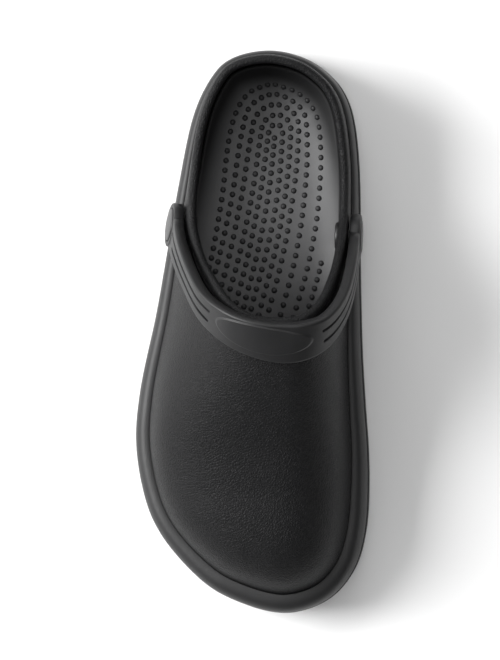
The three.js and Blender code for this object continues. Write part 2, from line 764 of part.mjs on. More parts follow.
export default clog;
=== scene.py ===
import math
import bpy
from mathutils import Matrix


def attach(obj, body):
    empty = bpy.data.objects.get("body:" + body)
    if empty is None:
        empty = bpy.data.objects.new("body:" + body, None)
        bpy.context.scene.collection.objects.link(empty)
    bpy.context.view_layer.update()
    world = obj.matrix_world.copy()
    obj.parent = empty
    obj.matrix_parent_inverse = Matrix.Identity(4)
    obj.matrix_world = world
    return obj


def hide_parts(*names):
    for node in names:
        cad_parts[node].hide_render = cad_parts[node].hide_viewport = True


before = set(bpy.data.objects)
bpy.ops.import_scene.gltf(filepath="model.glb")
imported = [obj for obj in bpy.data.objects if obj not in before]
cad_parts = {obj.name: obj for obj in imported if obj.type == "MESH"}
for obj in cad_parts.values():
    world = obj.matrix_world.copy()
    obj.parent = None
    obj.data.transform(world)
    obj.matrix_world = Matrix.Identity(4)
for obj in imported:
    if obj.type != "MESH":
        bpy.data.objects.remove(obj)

from types import SimpleNamespace

import bpy
import numpy as np
from bpy.props import FloatProperty, FloatVectorProperty, PointerProperty
from mathutils import Matrix, Vector
from mathutils.bvhtree import BVHTree

bl_info = {
    "name": "Foam work clog",
    "version": (1, 0, 0),
    "blender": (4, 5, 0),
    "location": "3D View > Sidebar > Clog",
    "description": "Builds a right-foot work clog of black moulded foam, piece by piece, and its studio",
    "category": "Add Mesh",
}

MM = 0.001


def table(names, *rows):
    """A short table as a dictionary of its columns."""
    return dict(zip(names, np.array(rows, float).T))


# The sole's outline seen from above: along is a share of the length from the heel to the toe, and
# across a share of the width from the outer to the inner side.
OUTLINE = table(
    ("along", "across"),
    (0.0, 0.082), (0.0146, 0.237), (0.0354, 0.316), (0.0688, 0.389), (0.1105, 0.43),
    (0.2, 0.457), (0.38, 0.4635), (0.5275, 0.4705), (0.6318, 0.484), (0.7152, 0.498),
    (0.7777, 0.5), (0.8403, 0.4935), (0.9028, 0.463), (0.9445, 0.41), (0.9779, 0.325),
    (1.0, 0.1525), (0.98, -0.06), (0.9445, -0.212), (0.8611, -0.394), (0.7986, -0.461),
    (0.7, -0.5), (0.6109, -0.4835), (0.4441, -0.3995), (0.2502, -0.3205), (0.1105, -0.2475),
    (0.0396, -0.159), (0.0146, -0.0865),
)

# The last's ridge: its place across, its height as a share of the instep height, the exponent of the
# section on each side, and the share of the flare at the foot of the upper.
LAST = table(
    ("along", "across", "height", "outer_full", "inner_full", "flare"),
    (0.17, 0.091, 1.04, 2.1, 2.8, 0.1),
    (0.33, 0.124, 1.05, 1.65, 3.3, 0.15),
    (0.43, 0.155, 1.035, 1.55, 3.1, 0.4),
    (0.487, 0.16, 1.0, 1.6, 3.0, 0.7),
    (0.56, 0.15, 0.9, 1.9, 2.8, 1.0),
    (0.64, 0.12, 0.795, 2.3, 2.7, 1.0),
    (0.71, 0.09, 0.715, 2.5, 2.6, 1.0),
    (0.78, 0.066, 0.67, 2.4, 2.5, 0.9),
)

# The collar's edge from the side: rise is a share of the way from the waist's rim to the instep, and
# heel a share of the heel's extra rise.
COLLAR = table(
    ("along", "rise", "heel"),
    (0.0, 0.0, 1.0), (0.07, 0.0, 0.6), (0.16, 0.0, 0.2), (0.235, 0.0, 0.0), (0.3, 0.06, 0.0),
    (0.345, 0.24, 0.0), (0.39, 0.44, 0.0), (0.425, 0.64, 0.0), (0.452, 0.78, 0.0),
    (0.475, 0.92, 0.0), (0.487, 1.0, 0.0), (0.5, 1.3, 0.0),
)

# The sole from the side: seam and footbed heights, the seam's inset on each side, and the lifts of
# the tread at the heel, arch and toe, each as a share of its named size.
SOLE = table(
    ("along", "seam", "footbed", "outer_inset", "inner_inset", "heel", "arch", "toe"),
    (0.0, 1.03, 1.0, 0.5, 0.5, 1.0, 0.0, 0.0),
    (0.06, 1.0, 1.0, 0.58, 0.45, 0.0, 0.0, 0.0),
    (0.2, 0.95, 1.0, 0.67, 0.4, 0.0, 0.0, 0.0),
    (0.3, 0.92, 0.98, 0.72, 0.46, 0.0, 0.0, 0.0),
    (0.41, 0.88, 0.9, 0.77, 0.58, 0.0, 1.0, 0.0),
    (0.51, 0.84, 0.81, 0.82, 0.72, 0.0, 0.0, 0.0),
    (0.69, 0.79, 0.72, 0.91, 0.85, 0.0, 0.0, 0.0),
    (0.78, 0.82, 0.73, 0.97, 0.93, 0.0, 0.0, 0.0),
    (0.87, 0.89, 0.82, 1.02, 1.0, 0.0, 0.0, 0.24),
    (0.94, 0.98, 0.95, 1.06, 1.05, 0.0, 0.0, 0.6),
    (1.0, 1.08, 1.06, 1.09, 1.09, 0.0, 0.0, 1.0),
)

# The strap's middle line: across is -1 at the outer seam, 0 on the ridge and 1 at the inner seam, lift
# is in strap thicknesses, width is a share of the strap's width, and lean turns its face to upright.
STRAP = table(
    ("along", "across", "lift", "width", "lean"),
    (0.3175, -0.885, 0.28, 0.74, -0.7),
    (0.36, -0.725, 0.45, 0.68, 0.25),
    (0.41, -0.57, 0.52, 0.66, 0.5),
    (0.456, -0.425, 0.5, 0.67, 0.52),
    (0.489, -0.26, 0.37, 0.76, 0.36),
    (0.507, -0.12, 0.21, 0.84, 0.12),
    (0.515, 0.03, 0.16, 0.88, 0.0),
    (0.511, 0.22, 0.19, 0.86, 0.1),
    (0.495, 0.4, 0.34, 0.82, 0.4),
    (0.457, 0.555, 0.5, 0.77, 0.5),
    (0.4, 0.685, 0.45, 0.74, 0.4),
    (0.336, 0.84, 0.25, 0.74, -0.6),
)

# The nubbed field of the footbed: its outer and inner edges, as shares of the width, from the heel.
NUB_FIELD = table(
    ("along", "outer", "inner"),
    (0.068, 0.06, 0.125), (0.081, -0.003, 0.2), (0.1, -0.04, 0.252), (0.125, -0.066, 0.284),
    (0.155, -0.084, 0.296), (0.2, -0.1, 0.3), (0.25, -0.112, 0.294), (0.3, -0.131, 0.283),
    (0.35, -0.152, 0.262), (0.4, -0.178, 0.235), (0.44, -0.2, 0.208), (0.48, -0.215, 0.178),
)

# The rows of nubs, each a U that runs round the heel: the places of its two legs between the field's
# edges at the heel, the middle and the front, where it turns at the heel, and how long that turn is.
NUB_ROWS = table(
    ("outer_heel", "outer_middle", "outer_front", "inner_heel", "inner_middle", "inner_front", "turn", "bend"),
    (0.0, 0.0, 0.0, 1.0, 1.0, 1.0, 0.066, 0.008),
    (0.13, 0.095, 0.06, 0.858, 0.845, 0.856, 0.083, 0.034),
    (0.24, 0.19, 0.163, 0.765, 0.72, 0.72, 0.101, 0.032),
    (0.345, 0.295, 0.26, 0.675, 0.64, 0.625, 0.119, 0.024),
    (0.43, 0.375, 0.358, 0.585, 0.56, 0.53, 0.136, 0.012),
    (0.5, 0.465, 0.447, 0.5, 0.465, 0.447, 0.153, 0.001),
    (1.13, 1.13, 1.13, 1.13, 1.13, 1.13, 0.374, 0.001),
)


def linear(code):
    """A linear colour from an sRGB hex code."""
    parts = [int(code[i:i + 2], 16) / 255 for i in (1, 3, 5)]
    return [c / 12.92 if c <= 0.04045 else ((c + 0.055) / 1.055) ** 2.4 for c in parts]


def length(name, description, default):
    """A length property whose default is given in millimetres."""
    return FloatProperty(name=name, description=description, default=default * MM, unit="LENGTH", precision=5)


def colour(name, description, code):
    """A colour property whose default is given as sRGB hex."""
    return FloatVectorProperty(name=name, description=description, default=linear(code), size=3, subtype="COLOR")


class ClogSizes(bpy.types.PropertyGroup):
    """The clog's main sizes"""
    shoe_length: length("Length", "Length of the sole", 290)
    ball_width: length("Width", "Width of the sole over the ball", 121.6)
    instep_height: length("Instep", "Height of the collar's front", 104)
    heel_rim_rise: length("Heel rise", "Extra rise of the collar at the heel", 8)
    waist_rim_height: length("Waist rim", "Height of the collar's sides", 58)
    seam_height: length("Seam", "Height of the sole's top edge", 34)
    footbed_height: length("Recess", "Height of the recess floor", 25.5)
    seam_inset: length("Seam inset", "Inset of the upper from the outline", 10)
    seam_groove: length("Seam groove", "Depth of the groove at the seam", 1.2)
    tread_round: length("Tread round", "Rounding of the tread's edge", 2.2)
    step_height: length("Step height", "Height of the step on the side", 9)
    step_depth: length("Step depth", "Depth of the step on the side", 1.4)
    step_reach: length("Step reach", "How far the lower band stands out", 0.9)
    heel_bevel: length("Heel lift", "Lift of the tread behind the heel", 4)
    arch_lift: length("Arch lift", "Lift of the tread under the arch", 3)
    toe_spring: length("Toe spring", "Lift of the tread at the toe", 15)
    channel_width: length("Channel width", "Width of the tread's channels", 4)
    channel_depth: length("Channel depth", "Depth of the tread's channels", 2.5)
    channel_pitch: length("Channel pitch", "Spacing of the tread's channels", 11)
    channel_margin: length("Channel margin", "Plain rim round the tread's channels", 11)
    foot_flare: length("Flare", "Flare of the upper above the seam", 4)
    upper_wall: length("Wall", "Thickness of the upper", 4.2)
    insole_thickness: length("Footbed", "Thickness of the footbed", 4.5)
    insole_lip: length("Footbed lip", "Thickness of the footbed's lip", 1.8)
    insole_cup: length("Footbed cup", "Height of the footbed's cup over the seam", 8)
    nub_radius: length("Nub radius", "Radius of the footbed's nubs", 1.25)
    nub_height: length("Nub height", "Height of the footbed's nubs", 0.9)
    nub_pitch: length("Nub pitch", "Spacing of the footbed's nubs", 5.05)
    strap_thickness: length("Strap thickness", "Thickness of the strap", 5)
    strap_width: length("Strap width", "Named width of the strap", 24)
    boss_radius: length("Boss radius", "Radius of the strap's round ends", 11.3)
    boss_proud: length("Boss height", "How far the round ends stand proud", 0.3)
    panel_length: length("Panel length", "Length of the bare oval panel", 45)
    panel_width: length("Panel width", "Width of the bare oval panel", 14.6)
    panel_proud: length("Panel height", "How far the oval panel stands proud", 0.6)
    panel_shift: length("Panel shift", "Shift of the oval panel towards the heel", 1.2)
    groove_width: length("Groove width", "Width of the strap's grooves", 1.5)
    groove_depth: length("Groove depth", "Depth of the strap's grooves", 0.9)
    groove_middle: length("Groove end", "From the strap's middle to the grooves", 28)
    groove_rivet: length("Groove start", "From the rivet to the first groove", 12)
    groove_stagger: length("Groove stagger", "How much later the next groove starts", 5)
    cap_radius: length("Cap radius", "Radius of the rivet caps", 8.2)
    cap_thickness: length("Cap thickness", "Thickness of the rivet caps", 1.5)
    cap_sink: length("Cap seat", "How deep the caps sit in the strap", 1)
    pin_radius: length("Pin radius", "Radius of the rivets' pins", 3.4)
    back_radius: length("Back radius", "Radius of the rivets' backs", 7)
    back_thickness: length("Back thickness", "Thickness of the rivets' backs", 2)
    gap: length("Gap", "Clearance between pieces", 0.3)


class ClogColours(bpy.types.PropertyGroup):
    """The clog's colours"""
    sole: colour("Sole", "Moulded foam of the sole", "#161617")
    upper: colour("Upper", "Grained foam of the upper", "#131314")
    footbed: colour("Footbed", "Soft foam of the footbed", "#464647")
    # The nubs' darker colour is painted shade on the footbed's foam.
    nub_shade_colour: colour("Nubs", "Footbed foam on the nubs, darkened as painted shade", "#252526")
    strap: colour("Strap", "Smooth foam of the strap", "#151516")
    rivet: colour("Rivets", "Satin plastic of the rivets", "#1d1d1e")
    floor: colour("Floor", "White paper under the shoe", "#f6f6f6")


def in_millimetres(group):
    """The sizes as plain numbers in millimetres."""
    return SimpleNamespace(**{name: getattr(group, name) / MM for name in ClogSizes.__annotations__})


def mix(a, b, share):
    return a + (b - a) * share


def curve_of(rows, column, key="along"):
    """A smooth curve through one column of a table, which never swings past its rows."""
    x, y = rows[key], rows[column]
    slope = np.diff(y) / np.diff(x)
    inner = np.where(
        slope[:-1] * slope[1:] > 0,
        2 * slope[:-1] * slope[1:] / np.where(slope[:-1] + slope[1:] == 0, 1, slope[:-1] + slope[1:]),
        0,
    )
    tangent = np.concatenate(([slope[0]], inner, [slope[-1]]))

    def value(at):
        at = np.clip(np.asarray(at, float), x[0], x[-1])
        i = np.clip(np.searchsorted(x, at, side="right") - 1, 0, len(x) - 2)
        span = x[i + 1] - x[i]
        t = (at - x[i]) / span
        near = (1 + 2 * t) * (1 - t) ** 2 * y[i] + t * (1 - t) ** 2 * span * tangent[i]
        return near + t * t * (3 - 2 * t) * y[i + 1] + t * t * (t - 1) * span * tangent[i + 1]

    return value


def centripetal(points, closed, samples):
    """A centripetal spline through points, with that many samples to each span."""
    points = np.asarray(points, float)
    if closed:
        framed = np.concatenate((points[-1:], points, points[:2]))
    else:
        framed = np.concatenate((
            [2 * points[0] - points[1]], points, [2 * points[-1] - points[-2]],
        ))
    t = np.linspace(0, 1, samples, endpoint=False)[:, None]
    spans = []
    for a, b, c, d in zip(framed, framed[1:], framed[2:], framed[3:]):
        before, here, after = (max(np.linalg.norm(q - p), 1e-9) ** 0.5 for p, q in ((a, b), (b, c), (c, d)))
        start = ((b - a) / before - (c - a) / (before + here) + (c - b) / here) * here
        end = ((c - b) / here - (d - b) / (here + after) + (d - c) / after) * here
        spans.append(
            b + start * t + (3 * (c - b) - 2 * start - end) * t ** 2 + (2 * (b - c) + start + end) * t ** 3
        )
    line = np.concatenate(spans)
    return line if closed else np.concatenate((line, points[-1:]))


def resampled(line, count, closed=False):
    """The line with its points spaced evenly along it."""
    full = np.concatenate((line, line[:1])) if closed else line
    length = np.concatenate(([0], np.cumsum(np.linalg.norm(np.diff(full, axis=0), axis=1))))
    wanted = np.linspace(0, length[-1], count, endpoint=not closed)
    return np.stack([np.interp(wanted, length, full[:, k]) for k in range(full.shape[1])], axis=1)


def unit(vectors):
    return vectors / np.maximum(np.linalg.norm(vectors, axis=-1, keepdims=True), 1e-12)


class Form:
    """The shoe's shape worked out from its sizes, in millimetres."""

    def __init__(self, sizes, count=480):
        self.sizes = sizes
        self.count = count
        self.seam = curve_of(SOLE, "seam")
        self.footbed = curve_of(SOLE, "footbed")
        self.outer_inset = curve_of(SOLE, "outer_inset")
        self.inner_inset = curve_of(SOLE, "inner_inset")
        self.lifts = [curve_of(SOLE, name) for name in ("heel", "arch", "toe")]
        self.ridge_across = curve_of(LAST, "across")
        self.ridge_height = curve_of(LAST, "height")
        self.outer_full = curve_of(LAST, "outer_full")
        self.inner_full = curve_of(LAST, "inner_full")
        self.flare = curve_of(LAST, "flare")
        self.rise = curve_of(COLLAR, "rise")
        self.heel_rise = curve_of(COLLAR, "heel")
        self.heel_end = self.y_at(LAST["along"][0])
        self.toe_end = self.y_at(LAST["along"][-1])
        self.loop, self.inward, self.inset = self.frames(count)
        fine, inward, inset = self.frames(720)
        self.seam_polygon = fine + inward * inset[:, None]
        self.seam_loop = self.loop + self.inward * self.inset[:, None]

    def y_at(self, along):
        return self.sizes.shoe_length * (0.5 - np.asarray(along))

    def along_at(self, y):
        return 0.5 - np.asarray(y) / self.sizes.shoe_length

    def frames(self, count):
        """Outline points, the directions inward from them, and the seam's inset at each."""
        table_points = np.stack((OUTLINE["across"], -OUTLINE["along"]), axis=1)
        line = resampled(centripetal(table_points, True, 60), 1440, closed=True)
        spread = np.exp(-0.5 * (np.arange(-24, 25) / 6) ** 2)
        spread /= spread.sum()
        around = np.concatenate((line[-24:], line, line[:24]))
        line = np.stack([np.convolve(around[:, k], spread, "valid") for k in range(2)], axis=1)
        low, high = line.min(axis=0), line.max(axis=0)
        size = np.array((self.sizes.ball_width, self.sizes.shoe_length))
        line = (line - (low + high) / 2) / (high - low) * size
        points = resampled(line, count, closed=True)
        tangent = unit(np.roll(points, -1, axis=0) - np.roll(points, 1, axis=0))
        inward = np.stack((tangent[:, 1], -tangent[:, 0]), axis=1)
        along = self.along_at(points[:, 1])
        inner = (1 - inward[:, 0]) / 2
        inset = self.sizes.seam_inset * mix(self.outer_inset(along), self.inner_inset(along), inner)
        return points, inward, inset

    def seam_z(self, y):
        return self.sizes.seam_height * self.seam(self.along_at(y))

    def footbed_z(self, y):
        return self.sizes.footbed_height * self.footbed(self.along_at(y))

    def tread_z(self, y):
        sizes = self.sizes
        along = self.along_at(y)
        lifts = (sizes.heel_bevel, sizes.arch_lift, sizes.toe_spring)
        return sum(lift * share(along) for lift, share in zip(lifts, self.lifts))

    def collar_z(self, y):
        sizes = self.sizes
        along = self.along_at(y)
        climb = (sizes.instep_height - sizes.waist_rim_height) * self.rise(along)
        return sizes.waist_rim_height + climb + sizes.heel_rim_rise * self.heel_rise(along)

    def ridge(self, y):
        on = np.clip(y, self.toe_end, self.heel_end)
        return np.stack((self.ridge_across(self.along_at(on)) * self.sizes.ball_width, on), axis=-1)

    def reach(self, origin, direction):
        """How far it is from each origin to the seam in each direction."""
        a = self.seam_polygon
        edge = np.roll(a, -1, axis=0) - a
        out = np.empty(len(origin))
        for start in range(0, len(origin), 2048):
            o = origin[start:start + 2048, None]
            d = direction[start:start + 2048, None]
            cross = d[..., 0] * edge[:, 1] - d[..., 1] * edge[:, 0]
            cross = np.where(np.abs(cross) < 1e-9, 1e-9, cross)
            away = a[None] - o
            distance = (away[..., 0] * edge[:, 1] - away[..., 1] * edge[:, 0]) / cross
            share = (away[..., 0] * d[..., 1] - away[..., 1] * d[..., 0]) / cross
            hit = (distance > 0) & (share >= -1e-6) & (share <= 1 + 1e-6)
            out[start:start + 2048] = np.where(hit, distance, 0).max(axis=1)
        return out

    def last_points(self, places):
        """The outer face of the upper over places of the last's map, whose edge is the seam."""
        sizes = self.sizes
        shape = places.shape[:-1]
        places = places.reshape(-1, 2)
        ridge = self.ridge(places[:, 1])
        away = places - ridge
        distance = np.linalg.norm(away, axis=1)
        direction = np.where(distance[:, None] > 1e-6, away / np.maximum(distance, 1e-6)[:, None], (1.0, 0.0))
        reach = self.reach(ridge, direction)
        angle = distance / reach * (math.pi / 2)
        along = self.along_at(ridge[:, 1])
        side = direction[:, 0] * (1 - np.exp(-distance / 14))
        full = mix(self.outer_full(along), self.inner_full(along), (1 + side) / 2)
        sine, cosine = np.abs(np.sin(angle)), np.abs(np.cos(angle))
        norm = (sine ** full + cosine ** full) ** (1 / full)
        foot_z = self.seam_z((ridge + direction * reach[:, None])[:, 1]) + sizes.gap + sizes.seam_groove
        flare = sizes.foot_flare * self.flare(along) * mix(0.35, 1, (1 + side) / 2)
        sideways = (reach - flare) * sine / norm + flare * (distance / reach) ** 9
        flat = ridge + direction * sideways[:, None]
        top = sizes.instep_height * self.ridge_height(along)
        z = foot_z + (top - foot_z) * cosine / norm
        return np.concatenate((flat, z[:, None]), axis=1).reshape(*shape, 3)

    def last_normals(self, places, step=0.4):
        across = self.last_points(places + (step, 0)) - self.last_points(places - (step, 0))
        forward = self.last_points(places + (0, step)) - self.last_points(places - (0, step))
        return unit(np.cross(across, forward))

    def upper_lines(self, steps=110):
        """Points of the upper's outer face on lines from the collar's edge down to the seam."""
        centre = np.array((self.sizes.ball_width * 0.1, float(self.y_at(0.27))))
        inside, outside = np.zeros(self.count), np.ones(self.count)
        for _ in range(22):
            middle = (inside + outside) / 2
            point = self.last_points(centre + (self.seam_loop - centre) * middle[:, None])
            above = point[:, 2] > self.collar_z(point[:, 1])
            inside, outside = np.where(above, middle, inside), np.where(above, outside, middle)
        edge = centre + (self.seam_loop - centre) * ((inside + outside) / 2)[:, None]
        share = 1 - (1 - np.linspace(0, 1, steps)) ** 1.5
        places = edge[None] + (self.seam_loop - edge)[None] * share[:, None, None]
        return self.last_points(places)


def flat(points, z):
    return np.concatenate((points, np.broadcast_to(np.asarray(z, float), len(points))[:, None]), axis=1)


def band_faces(rows, count, wrapped=False):
    faces = []
    for r in range(rows if wrapped else rows - 1):
        low, high = r * count, (r + 1) % rows * count
        faces += [(low + i, low + (i + 1) % count, high + (i + 1) % count, high + i) for i in range(count)]
    return faces


def zipped(count, start, turned):
    """Faces that close a ring by zipping its two sides together."""
    faces = []
    for i in range(count // 2):
        corners = dict.fromkeys((i, i + 1, count - i - 1, (count - i) % count))
        face = tuple(start + c for c in corners)
        faces.append(face[::-1] if turned else face)
    return faces


def ring_faces(rings, wrapped=False):
    count = len(rings[0])
    faces = band_faces(len(rings), count, wrapped)
    if not wrapped:
        faces += zipped(count, 0, True) + zipped(count, (len(rings) - 1) * count, False)
    return np.concatenate(rings), faces


def signed_volume(vertices, faces):
    total = 0.0
    for face in faces:
        a, b, c = (vertices[i] for i in face[:3])
        total += np.dot(a, np.cross(b, c))
        if len(face) == 4:
            total += np.dot(a, np.cross(c, vertices[face[3]]))
    return total


def add_piece(name, parts, material, node, crease=38):
    """One piece made of closed shells, given in millimetres, that replaces a CAD node."""
    vertices, faces, start = [], [], 0
    for shell, shell_faces in parts:
        turned = signed_volume(shell, shell_faces) < 0
        faces += [tuple(start + i for i in (face[::-1] if turned else face)) for face in shell_faces]
        vertices.append(shell)
        start += len(shell)
    mesh = bpy.data.meshes.new(name)
    mesh.from_pydata((np.concatenate(vertices) * MM).tolist(), [], faces)
    mesh.validate()
    mesh.shade_smooth()
    mesh.set_sharp_from_angle(angle=math.radians(crease))
    mesh.materials.append(material)
    piece = bpy.data.objects.new(name, mesh)
    bpy.context.scene.collection.objects.link(piece)
    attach(piece, "root")
    if node:
        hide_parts(node)
    return piece


def lathe(profile, origin, axis, steps=56):
    """A shell turned from (radius, height) pairs round an axis, closed at both ends."""
    turn = Vector((0, 0, 1)).rotation_difference(Vector(axis))
    angle = np.linspace(0, 2 * math.pi, steps, endpoint=False)
    rings = []
    for radius, height in profile:
        ring = np.stack((radius * np.cos(angle), radius * np.sin(angle), np.full(steps, height)), axis=1)
        rings.append(ring @ np.array(turn.to_matrix()).T + np.asarray(origin))
    return ring_faces(rings)


def annulus(profile, origin, axis, steps=72):
    """A ring turned from a closed profile round an axis."""
    turn = Vector((0, 0, 1)).rotation_difference(Vector(axis))
    angle = np.linspace(0, 2 * math.pi, steps, endpoint=False)
    rings = []
    for radius, height in profile:
        ring = np.stack((radius * np.cos(angle), radius * np.sin(angle), np.full(steps, height)), axis=1)
        rings.append(ring @ np.array(turn.to_matrix()).T + np.asarray(origin))
    return ring_faces(rings, wrapped=True)


def add_node(tree, kind, inputs=(), **settings):
    """A node with its settings, and its inputs as values or as sockets to link from."""
    node = tree.nodes.new(kind)
    for key, value in settings.items():
        setattr(node, key, value)
    for key, value in dict(inputs).items():
        if isinstance(value, bpy.types.NodeSocket):
            tree.links.new(value, node.inputs[key])
        else:
            node.inputs[key].default_value = value
    return node


def foam_material(name, base, roughness, layers, specular=0.5, tint=0.12, shade_by_height=None):
    """Moulded foam: layers are (kind, size in mm, depth in mm) of relief, the finest last, and the last argument is
    (from, to, share) in mm of height, over which painted shade darkens the foam's colour and sheen to that share."""
    material = bpy.data.materials.new(name)
    material.use_nodes = True
    tree = material.node_tree
    shader = tree.nodes["Principled BSDF"]
    shader.inputs["Specular IOR Level"].default_value = specular
    where = add_node(tree, "ShaderNodeTexCoord").outputs["Object"]
    cloud = add_node(tree, "ShaderNodeTexNoise", {"Vector": where, "Scale": 45.0, "Detail": 4.0}).outputs["Fac"]
    ramp = add_node(tree, "ShaderNodeValToRGB", {"Fac": cloud})
    ramp.color_ramp.elements[0].color = (*(c * (1 - tint) for c in base), 1)
    ramp.color_ramp.elements[1].color = (*(c * (1 + tint) for c in base), 1)
    tone = ramp.outputs["Color"]
    # Painted shade: the colour and sheen darken as the foam rises from the first height to the second.
    if shade_by_height:
        level = add_node(tree, "ShaderNodeSeparateXYZ", {"Vector": where}).outputs["Z"]
        painted_shade = add_node(tree, "ShaderNodeMapRange", {
            "Value": level, "From Min": shade_by_height[0] * MM, "From Max": shade_by_height[1] * MM, "To Min": 1.0, "To Max": shade_by_height[2],
        }, interpolation_type="SMOOTHSTEP").outputs["Result"]
        tone = add_node(tree, "ShaderNodeVectorMath", {0: tone, "Scale": painted_shade}, operation="SCALE").outputs[0]
        shaded_specular = add_node(tree, "ShaderNodeMath", {0: painted_shade, 1: specular}, operation="MULTIPLY").outputs[0]
        tree.links.new(shaded_specular, shader.inputs["Specular IOR Level"])
    tree.links.new(tone, shader.inputs["Base Color"])
    spread = add_node(tree, "ShaderNodeMapRange", {
        "Value": cloud, "To Min": roughness - 0.05, "To Max": roughness + 0.06,
    })
    tree.links.new(spread.outputs["Result"], shader.inputs["Roughness"])
    normal = None
    for kind, size, depth in layers:
        height = relief(tree, kind, where, size)
        inputs = {"Height": height, "Distance": depth * MM, "Strength": 1.0}
        if normal:
            inputs["Normal"] = normal
        normal = add_node(tree, "ShaderNodeBump", inputs).outputs["Normal"]
    tree.links.new(normal, shader.inputs["Normal"])
    return material


def relief(tree, kind, where, size):
    """The height of one layer of relief whose marks are that many millimetres across."""
    scale = 1 / (size * MM)
    if kind == "grain":
        bend = add_node(tree, "ShaderNodeTexNoise", {"Vector": where, "Scale": scale * 0.7, "Detail": 2.0})
        moved = add_node(tree, "ShaderNodeVectorMath", {0: bend.outputs["Color"], "Scale": size * MM * 0.9},
                         operation="SCALE")
        place = add_node(tree, "ShaderNodeVectorMath", {0: where, 1: moved.outputs[0]}, operation="ADD")
        cells = add_node(tree, "ShaderNodeTexVoronoi", {"Vector": place.outputs[0], "Scale": scale},
                         feature="DISTANCE_TO_EDGE")
        crest = add_node(tree, "ShaderNodeMapRange", {
            "Value": cells.outputs["Distance"], "From Max": 0.28, "To Max": 1.0,
        }, interpolation_type="SMOOTHSTEP")
        return crest.outputs["Result"]
    if kind == "stipple":
        cells = add_node(tree, "ShaderNodeTexVoronoi", {"Vector": where, "Scale": scale}, feature="F1")
        return cells.outputs["Distance"]
    return add_node(tree, "ShaderNodeTexNoise", {"Vector": where, "Scale": scale, "Detail": 3.0}).outputs["Fac"]


class CLOG_OT_sole(bpy.types.Operator):
    """Builds the sole with its lower band, side step, bumper and tread"""
    bl_idname = "clog.sole"
    bl_label = "Sole"

    def execute(self, context):
        # Injection-moulded black foam, with a finely stippled side.
        colours = context.scene.clog_colours
        material = foam_material("Sole moulded foam", colours.sole, 0.52,
                                 (("cloud", 6.0, 0.12), ("stipple", 0.9, 0.04)))
        form = Form(in_millimetres(context.scene.clog_sizes))
        rings = sole_rings(form)
        piece = add_piece("sole_unit", [ring_faces(rings)], material, "sole", crease=42)
        cutter = bpy.data.objects.new("channels", channel_mesh(form))
        context.scene.collection.objects.link(cutter)
        cut = piece.modifiers.new("channels", "BOOLEAN")
        cut.operation = "DIFFERENCE"
        cut.solver = "EXACT"
        cut.use_self = True
        cut.object = cutter
        context.view_layer.objects.active = piece
        bpy.ops.object.modifier_apply(modifier=cut.name)
        bpy.data.objects.remove(cutter)
        piece.data.set_sharp_from_angle(angle=math.radians(42))
        return {"FINISHED"}


def inward_rings(form, ring, shares, height_of):
    rings = []
    for share in shares:
        place = mix(ring[:, :2], form.ridge(ring[:, 1]), share)
        rings.append(flat(place, height_of(place, share)))
    return rings


def sole_rings(form):
    sizes = form.sizes

    def at(inset):
        return form.loop + form.inward * np.broadcast_to(inset, form.count)[:, None]

    def over_tread(inset, rise):
        place = at(inset)
        return flat(place, form.tread_z(place[:, 1]) + rise)

    def under_seam(distance, drop):
        return flat(at(form.inset + distance), form.seam_z(form.loop[:, 1]) - drop)

    def bumper(degrees):
        angle = math.radians(degrees)
        reach = form.inset - sizes.seam_groove * 0.35 - sizes.step_reach
        low = form.tread_z(form.loop[:, 1]) + sizes.step_height + sizes.step_depth * 1.2
        height = mix(low, form.seam_z(form.loop[:, 1]), math.sin(angle) ** 0.7)
        return flat(at(sizes.step_reach + reach * (1 - math.cos(angle) ** 0.7)), height)

    edge = over_tread(sizes.tread_round, 0)
    bend = sizes.tread_round
    rings = inward_rings(form, edge, (0.9, 0.7, 0.5, 0.35, 0.2, 0.1, 0.04), lambda p, s: form.tread_z(p[:, 1]))
    rings.append(edge)
    rings += [over_tread(bend * (1 - math.sin(a)), bend * (1 - math.cos(a))) for a in (0.4, 0.8, 1.2, math.pi / 2)]
    top = sizes.step_height
    rings += [over_tread(0.1, top * 0.5), over_tread(0.2, top - 0.9), over_tread(0.4, top - 0.3),
              over_tread(0.9, top), over_tread(0.2 + sizes.step_depth, top + 0.1),
              over_tread(0.3 + sizes.step_depth, top + 0.7), over_tread(1.3, top + sizes.step_depth * 0.95)]
    rings += [bumper(a) for a in (1, 4, 10, 20, 30, 40, 50, 60, 68, 75, 81, 86, 89)]
    groove = sizes.seam_groove
    rings += [under_seam(-groove * 0.22, 0.1), under_seam(-groove * 0.12, groove * 0.5),
              under_seam(0, groove), under_seam(groove * 0.4, groove), under_seam(groove, 0),
              under_seam(sizes.upper_wall, 0)]
    wall = at(form.inset + sizes.upper_wall)
    floor = flat(wall, form.footbed_z(wall[:, 1]))
    rings.append(floor)
    rings += inward_rings(form, floor, (0.3, 0.6, 0.9), lambda p, s: form.footbed_z(p[:, 1]))
    return rings


